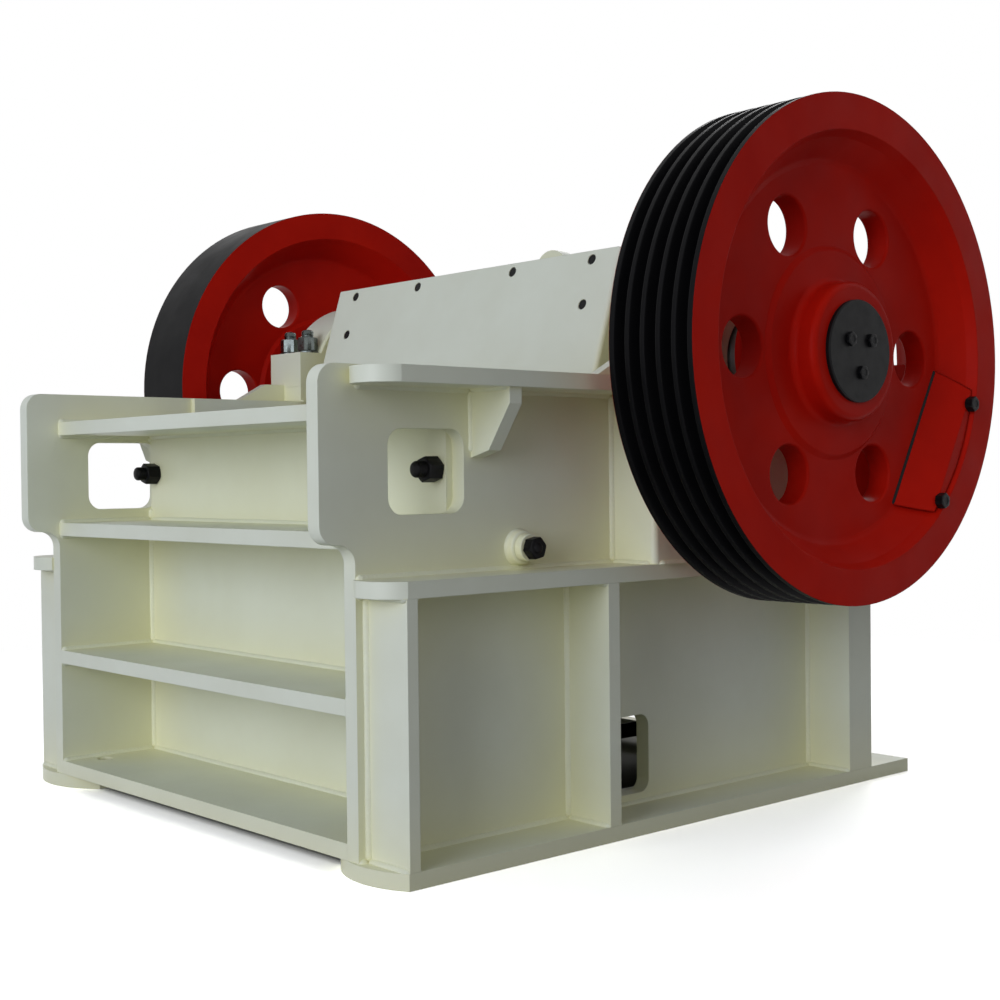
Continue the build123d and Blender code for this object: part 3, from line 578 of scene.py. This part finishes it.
def sideBeads(side, tag):
    # flanges, posts, foot, gusset and pedestal against the outer face of one side plate
    beads = []
    x = side * plateOut
    out = side * xAxis

    def lay(start, end, legA, legB, size=1.0):
        beads.append(closedBead(start, end, legA, legB, size=size))

    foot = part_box("foot_" + tag)[1].z
    flangeLow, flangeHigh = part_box("mid_flange_" + tag)
    topLow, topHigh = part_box("top_flange_" + tag)
    gussetLow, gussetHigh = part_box("gusset_" + tag)
    pedestalLow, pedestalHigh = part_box("bearing_pedestal_" + tag)
    pedestalLow.y -= pedestalPlate["deep"]
    posts = [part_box(name + tag) for name in ("front_post_", "mid_post_", "rear_post_")]
    edge = side * max(abs(flangeLow.x), abs(flangeHigh.x))
    ledgeRoot = sideWeld["ledgeRoot"]
    ledgeTop = topLow.z + sideWeld["ledgeThick"]
    # flange tops, and the pedestal standing on the lower one
    lay((x, shelfFront, flangeHigh.z), (x, pedestalLow.y, flangeHigh.z), out, zAxis)
    lay((x, pedestalHigh.y, flangeHigh.z), (x, flangeHigh.y, flangeHigh.z), out, zAxis)
    lay((x, ledgeRoot, ledgeTop), (x, topHigh.y, ledgeTop), out, zAxis, 0.6)
    for y0, y1 in ((ledgeRoot, gussetLow.y), (gussetHigh.y, pedestalLow.y)):
        lay((x, y0, topLow.z), (x, y1, topLow.z), out, -zAxis)
    for y, way in ((gussetLow.y, -yAxis), (gussetHigh.y, yAxis)):
        lay((x, y, gussetLow.z + sideWeld["gussetFoot"]), (x, y, topLow.z), out, way, 0.8)
        lay((x, y, topLow.z), (x + side * sideWeld["gussetWide"], y, topLow.z), way, -zAxis, 0.8)
    # posts: upright on the plate, along the foot and under the flange
    for low, high in posts:
        for y, way in ((low.y, -yAxis), (high.y, yAxis)):
            if y > flangeHigh.y - sideWeld["postClear"]:
                continue
            lay((x, y, foot), (x, y, flangeLow.z), out, way)
            lay((x, y, foot), (edge, y, foot), zAxis, way)
            lay((x, y, flangeLow.z), (edge, y, flangeLow.z), -zAxis, way)
    # plate on the foot and under the flange, between the posts
    bays = [(shelfFront, posts[0][0].y), (posts[0][1].y, posts[1][0].y),
            (posts[1][1].y, posts[2][0].y)]
    for y0, y1 in bays:
        lay((x, y0, foot), (x, y1, foot), out, zAxis)
        lay((x, y0, flangeLow.z), (x, y1, flangeLow.z), out, -zAxis)
    # pedestal's foot and its front corner
    pedestalX = max(abs(pedestalLow.x), abs(pedestalHigh.x)) * side
    for y, way in ((pedestalLow.y, -yAxis), (pedestalHigh.y, yAxis)):
        lay((x, y, flangeHigh.z), (pedestalX - side * sideWeld["cornerIn"], y, flangeHigh.z),
            zAxis, way)
        lay((x, y, flangeHigh.z), (x, y, topLow.z), out, way)
    lay((pedestalX, pedestalLow.y + sideWeld["cornerLong"], flangeHigh.z),
        (pedestalX, pedestalHigh.y - sideWeld["cornerLong"], flangeHigh.z), out, zAxis)
    return beads


for side, tag in ((-1, "left"), (1, "right")):
    meshFromGrids("weldBeads" + tag.capitalize(), sideBeads(side, tag), weldEnamel,
                  "frame", 60)


# Bolts and nuts

print("setting bolts")
bearingStud = {
    "flats": 55 * mm, "nutHigh": 43 * mm,
    "stud": 19 * mm, "past": 27 * mm,     # its radius, and how far it stands past the nut
    "sunk": 2 * mm,                       # and how far inside the nut it starts
    "washer": 33 * mm, "washerHigh": 6 * mm,
    "fromX": (708 * mm, 804 * mm),        # two rows on each bearing cap
    "fromEnd": 52 * mm,                   # in from the ends of the cap's lugs
    "lugHigh": 107 * mm,
}
capLow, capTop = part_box("bearing_cap_right")
lugTop = capLow.z + bearingStud["lugHigh"]
studs = []
for side in (-1, 1):
    for x in bearingStud["fromX"]:
        for along in (-1, 1):
            lugEnd = (capLow.y, capTop.y)[along > 0]
            seat = np.array((side * x, lugEnd - along * bearingStud["fromEnd"], lugTop))
            turn = x * 40 + along         # no two nuts are tightened to the same turn
            studs.append(washer(seat, zAxis, bearingStud["washer"], bearingStud["washerHigh"]))
            nut = seat + zAxis * bearingStud["washerHigh"]
            studs.append(hexNut(nut, zAxis, bearingStud["flats"], bearingStud["nutHigh"], turn))
            studs.append(studEnd(nut, zAxis, bearingStud["stud"],
                                 bearingStud["nutHigh"] - bearingStud["sunk"],
                                 bearingStud["past"]))
meshFromGrids("bearingStudNuts", studs, zincSteel, "frame")

wallBolt = {"x": 628 * mm, "z": 860 * mm, "flats": 52 * mm, "nutHigh": 40 * mm,
            "stud": 19 * mm, "past": 30 * mm, "sunk": 2 * mm}
wallBolts = []
for side in (-1, 1):
    seat = (side * wallBolt["x"], wallFront, wallBolt["z"])
    wallBolts.append(hexNut(seat, -yAxis, wallBolt["flats"], wallBolt["nutHigh"], 0.3 * side))
    wallBolts.append(studEnd(seat, -yAxis, wallBolt["stud"],
                             wallBolt["nutHigh"] - wallBolt["sunk"], wallBolt["past"]))
meshFromGrids("wallBolts", wallBolts, blackEnamel, "frame")

cheekBolt = {
    "y": -439 * mm, "z": 680 * mm,
    "boss": 39 * mm, "bossHigh": 22 * mm, "rounding": 7 * mm,
    "flare": ((5 * mm, 0), (1.5 * mm, 3 * mm), (0, 7 * mm)),   # weld about its foot: out and up
    "spacer": 31 * mm, "spacerHigh": 20 * mm,
    "flats": 46 * mm, "nutHigh": 26 * mm,
    "stud": 14 * mm, "past": 6 * mm, "sunk": 2 * mm,
}
bosses, cheekNuts = [], []
for side in (-1, 1):
    # the boss's outer edge is a quarter of a circle
    seat = np.array((side * plateOut, cheekBolt["y"], cheekBolt["z"]))
    out = side * xAxis
    high, radius, rounding = (cheekBolt[key] for key in ("bossHigh", "boss", "rounding"))
    angle = np.linspace(0, pi / 2, 6)
    profile = [(0, 0)] + [(up, radius + wide) for wide, up in cheekBolt["flare"]]
    profile += list(zip(high - rounding + rounding * np.sin(angle),
                        radius - rounding + rounding * np.cos(angle)))
    profile.append((high, 0))
    bosses.append(turned(seat, out, profile))
    bosses.append(washer(seat + out * high, out, cheekBolt["spacer"], cheekBolt["spacerHigh"]))
    nut = seat + out * (high + cheekBolt["spacerHigh"])
    cheekNuts.append(hexNut(nut, out, cheekBolt["flats"], cheekBolt["nutHigh"], 0.2))
    cheekNuts.append(studEnd(nut, out, cheekBolt["stud"],
                             cheekBolt["nutHigh"] - cheekBolt["sunk"], cheekBolt["past"]))
meshFromGrids("cheekBosses", bosses, ivoryEnamel, "frame")
meshFromGrids("cheekNuts", cheekNuts, blackEnamel, "frame")


def onWheelCircle(x, radius, angle):
    # a point at an angle on a circle about the shaft: 0 points to the back, a quarter turn up
    return (x, shaftY + radius * cos(angle), shaftZ + radius * sin(angle))


coverScrew = {"ring": 168 * mm, "count": 10, "flats": 19 * mm, "high": 10 * mm}
screws = []
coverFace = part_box("bearing_cover_right")[1].x
for side in (-1, 1):
    for i in range(coverScrew["count"]):
        seat = onWheelCircle(side * coverFace, coverScrew["ring"],
                             2 * pi * (i + 0.5) / coverScrew["count"])
        screws.append(hexNut(seat, side * xAxis, coverScrew["flats"], coverScrew["high"], i))
meshFromGrids("bearingCoverScrews", screws, blackEnamel, "frame")

weightBolt = {"ring": 494 * mm, "turn": -29.9, "apart": 16.6,    # degrees
              "flats": 34 * mm, "high": 22 * mm}
weightBolts = []
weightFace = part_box("counterweight_right")[1].x
for side in (-1, 1):
    for apart in (-1, 1):
        seat = onWheelCircle(side * weightFace, weightBolt["ring"],
                             radians(weightBolt["turn"] + apart * weightBolt["apart"]))
        weightBolts.append(hexNut(seat, side * xAxis, weightBolt["flats"],
                                  weightBolt["high"], 0.4))
meshFromGrids("counterweightBolts", weightBolts, blackEnamel, "rotor")

# painted shade: a dark bead along the root of each counterweight, for the shadow in the gap
# between it and the web
weightShadowLine = {"turn": -29.5,              # degrees
              "root": 397 * mm,           # from the shaft line
              "half": 196 * mm,           # half its length
              "web": 1078 * mm,           # the wheel's web, from the middle of the machine
              "size": 0.5}                # of a weld bead
shadowLines = []
turn = radians(weightShadowLine["turn"])
outward, across = np.array((0, cos(turn), sin(turn))), np.array((0, -sin(turn), cos(turn)))
rootMiddle = np.array((0, shaftY, shaftZ)) + weightShadowLine["root"] * outward
for side in (-1, 1):
    middle = rootMiddle + side * weightShadowLine["web"] * xAxis
    ends = [middle + way * weightShadowLine["half"] * across for way in (-1, 1)]
    shadowLines.append(closedBead(*ends, -outward, (side * xAxis + outward) / 2 ** 0.5,
                            size=weightShadowLine["size"]))
meshFromGrids("counterweightShadowLines", shadowLines, blackEnamel, "rotor", 60)

capBolt = {"places": ((42 * mm, 26 * mm), (-42 * mm, 26 * mm), (4 * mm, -51 * mm)),
           "flats": 30 * mm, "high": 9 * mm}
capBolts = []
for side in (-1, 1):
    for i, (y, z) in enumerate(capBolt["places"]):
        seat = (side * capHigh, shaftY + y, shaftZ + z)
        capBolts.append(hexNut(seat, side * xAxis, capBolt["flats"], capBolt["high"], 0.5 * i))
meshFromGrids("endCapBolts", capBolts, blackEnamel, "rotor")

# the guard's six holes are shut by black discs that end a little below its face
guardPlug = {
    "radius": 13.7 * mm, "high": 4 * mm, "chamfer": 1 * mm,
    "back": 1 * mm,                       # below the guard's face
    "top": (0, 12 * mm, 1420 * mm),       # middle of the guard's upper edge
    "slope": (121.0, 392.0),              # the face goes back by the first for the second up
    "places": ((507, 25), (205, 25), (-205, 25), (-507, 25), (507, 148), (-507, 148)),
}                                         # mm along the guard, and down its face
guardUp = np.array((0, *guardPlug["slope"])) / np.hypot(*guardPlug["slope"])
guardIn = np.cross(guardUp, xAxis)
guardTop = np.array(guardPlug["top"])
profile = [(-guardPlug["high"], 0), (-guardPlug["high"], guardPlug["radius"]),
           (0, guardPlug["radius"] - guardPlug["chamfer"]), (0, 0)]
plugs = []
for x, down in guardPlug["places"]:
    seat = guardTop - guardUp * down * mm + guardIn * guardPlug["back"] + xAxis * x * mm
    plugs.append(turned(seat, -guardIn, profile, None, 32))
meshFromGrids("guardHoleDiscs", plugs, blackEnamel, "swing_jaw")


# Studio and camera

studio = {
    "floorHalf": 30.0,            # metres
    "floorTint": "#8C8C8A",       # what lights the machine from below
    "floorShown": 2.9,            # and what is seen: past white, so that only its shadow shows
    "fadeFrom": 1.6, "fadeTo": 4.0,       # metres, over which it goes over into the backdrop
    "between": (0.69, 0.86),      # metres each way from the middle, between the side plates, where the floor shows painted shade
    "world": 0.2,
    "key": ((2.1, -8.35, 2.3), 6.0, 425, "#F4F7FF"),     # place, size, watts, tint
    "fill": ((7.0, -2.0, 3.0), 5.0, 30, "#FFFDF6"),
    "rim": ((-2.5, 5.5, 4.2), 4.0, 150, "#FFFFFF"),
}


def lookMatrix(place, target):
    way = (Vector(target) - Vector(place)).normalized()
    return Matrix.Translation(Vector(place)) @ way.to_track_quat("-Z", "Y").to_matrix().to_4x4()


def shownRays(tree):
    # the eye, and what metal and glass show of the background, see it as white
    paths = addNode(tree, "ShaderNodeLightPath").outputs
    mirrored = addNode(tree, "ShaderNodeMath", {"operation": "MAXIMUM"},
                       {0: paths["Is Glossy Ray"], 1: paths["Is Transmission Ray"]})
    return addNode(tree, "ShaderNodeMath", {"operation": "MAXIMUM"},
                   {0: paths["Is Camera Ray"], 1: mirrored.outputs["Value"]}).outputs["Value"]


def makeFloor():
    # a square of matt floor: grey for the light that it gives back, pale where it is seen
    half = studio["floorHalf"]
    mesh = bpy.data.meshes.new("studioFloor")
    mesh.from_pydata([(-half, -half, 0), (half, -half, 0), (half, half, 0), (-half, half, 0)], [],
                     [(0, 1, 2, 3)])
    floor = bpy.data.objects.new("studioFloor", mesh)
    bpy.context.scene.collection.objects.link(floor)
    material, tree, shader, coords = newMaterial(
        "paleStudioFloor", {"Base Color": linearColour(studio["floorTint"]), "Roughness": 1.0,
                            "Specular IOR Level": 0.0})
    shown = (*[studio["floorShown"]] * 3, 1.0)
    pale = addNode(tree, "ShaderNodeBsdfDiffuse", {"Color": shown})
    white = addNode(tree, "ShaderNodeEmission", {"Color": (1, 1, 1, 1), "Strength": 1.0})
    reach = addNode(tree, "ShaderNodeVectorMath", {"operation": "LENGTH"}, {0: coords})
    away = addNode(tree, "ShaderNodeMapRange",
                   {"From Min": studio["fadeFrom"], "From Max": studio["fadeTo"]},
                   {"Value": reach.outputs["Value"]})
    # painted shade: between the side plates the floor is shown in its grey to the eye too, for the
    # shade under the machine
    wide, deep = studio["between"]
    shares = addNode(tree, "ShaderNodeVectorMath",
                     {"operation": "MULTIPLY", 1: (1 / wide, 1 / deep, 0)}, {0: coords})
    sizes = addNode(tree, "ShaderNodeVectorMath", {"operation": "ABSOLUTE"},
                    {0: shares.outputs["Vector"]})
    split = addNode(tree, "ShaderNodeSeparateXYZ", None, {"Vector": sizes.outputs["Vector"]})
    largest = addNode(tree, "ShaderNodeMath", {"operation": "MAXIMUM"},
                      {0: split.outputs["X"], 1: split.outputs["Y"]})
    outside = addNode(tree, "ShaderNodeMapRange", {"From Min": 0.95, "From Max": 1.0},
                      {"Value": largest.outputs["Value"]})
    seen = shownRays(tree)
    paleShare = addNode(tree, "ShaderNodeMath", {"operation": "MULTIPLY"},
                        {0: outside.outputs["Result"], 1: seen})
    whiteShare = addNode(tree, "ShaderNodeMath", {"operation": "MULTIPLY"},
                         {0: away.outputs["Result"], 1: seen})
    ground = addNode(tree, "ShaderNodeMixShader", None, {0: paleShare.outputs["Value"],
                                                         1: shader.outputs["BSDF"],
                                                         2: pale.outputs["BSDF"]})
    mix = addNode(tree, "ShaderNodeMixShader", None, {0: whiteShare.outputs["Value"],
                                                      1: ground.outputs["Shader"],
                                                      2: white.outputs["Emission"]})
    tree.links.new(mix.outputs["Shader"], tree.nodes["Material Output"].inputs["Surface"])
    mesh.materials.append(material)


def makeWorld():
    world = bpy.data.worlds.new("studioWorld")
    bpy.context.scene.world = world
    world.use_nodes = True
    tree = world.node_tree
    light = tree.nodes["Background"]
    setNode(light, {"Color": (1, 1, 1, 1), "Strength": studio["world"]})
    white = addNode(tree, "ShaderNodeBackground", {"Color": (1, 1, 1, 1), "Strength": 1.0})
    mix = addNode(tree, "ShaderNodeMixShader", None, {0: shownRays(tree),
                                                      1: light.outputs["Background"],
                                                      2: white.outputs["Background"]})
    tree.links.new(mix.outputs["Shader"], tree.nodes["World Output"].inputs["Surface"])


def makeLamp(name):
    place, size, watts, tint = studio[name]
    lamp = bpy.data.lights.new(name + "Lamp", "AREA")
    lamp.shape = "DISK"
    lamp.size = size
    lamp.energy = watts
    lamp.color = linearColour(tint)[:3]
    piece = bpy.data.objects.new(name + "Lamp", lamp)
    piece.matrix_world = lookMatrix(place, (0, 0, 0.8))
    bpy.context.scene.collection.objects.link(piece)


cameraSetup = {
    "place": (3.25205, -2.78158, 0.84474),
    "yaw": 48.12, "pitch": -0.93, "roll": -0.62,     # degrees
    "focal": 1.51816,                                # as a share of the picture's width
}


def makeCamera():
    # yaw turns the view from +Y towards -X, pitch is above the horizon, roll is about the view
    yaw, pitch, roll = (radians(cameraSetup[key]) for key in ("yaw", "pitch", "roll"))
    ahead = Vector((-sin(yaw) * cos(pitch), cos(yaw) * cos(pitch), sin(pitch)))
    right = Vector((cos(yaw), sin(yaw), 0))
    up = right.cross(ahead)
    right, up = right * cos(roll) + up * sin(roll), up * cos(roll) - right * sin(roll)
    camera = bpy.data.cameras.new("photoCamera")
    camera.sensor_width = 36.0
    camera.lens = 36.0 * cameraSetup["focal"]
    piece = bpy.data.objects.new("photoCamera", camera)
    facing = Matrix((right, up, -ahead)).transposed().to_4x4()
    piece.matrix_world = Matrix.Translation(Vector(cameraSetup["place"])) @ facing
    bpy.context.scene.collection.objects.link(piece)
    bpy.context.scene.camera = piece


print("building the studio")
makeFloor()
makeWorld()
for lampName in ("key", "fill", "rim"):
    makeLamp(lampName)
makeCamera()
bpy.context.scene.view_settings.view_transform = "Standard"
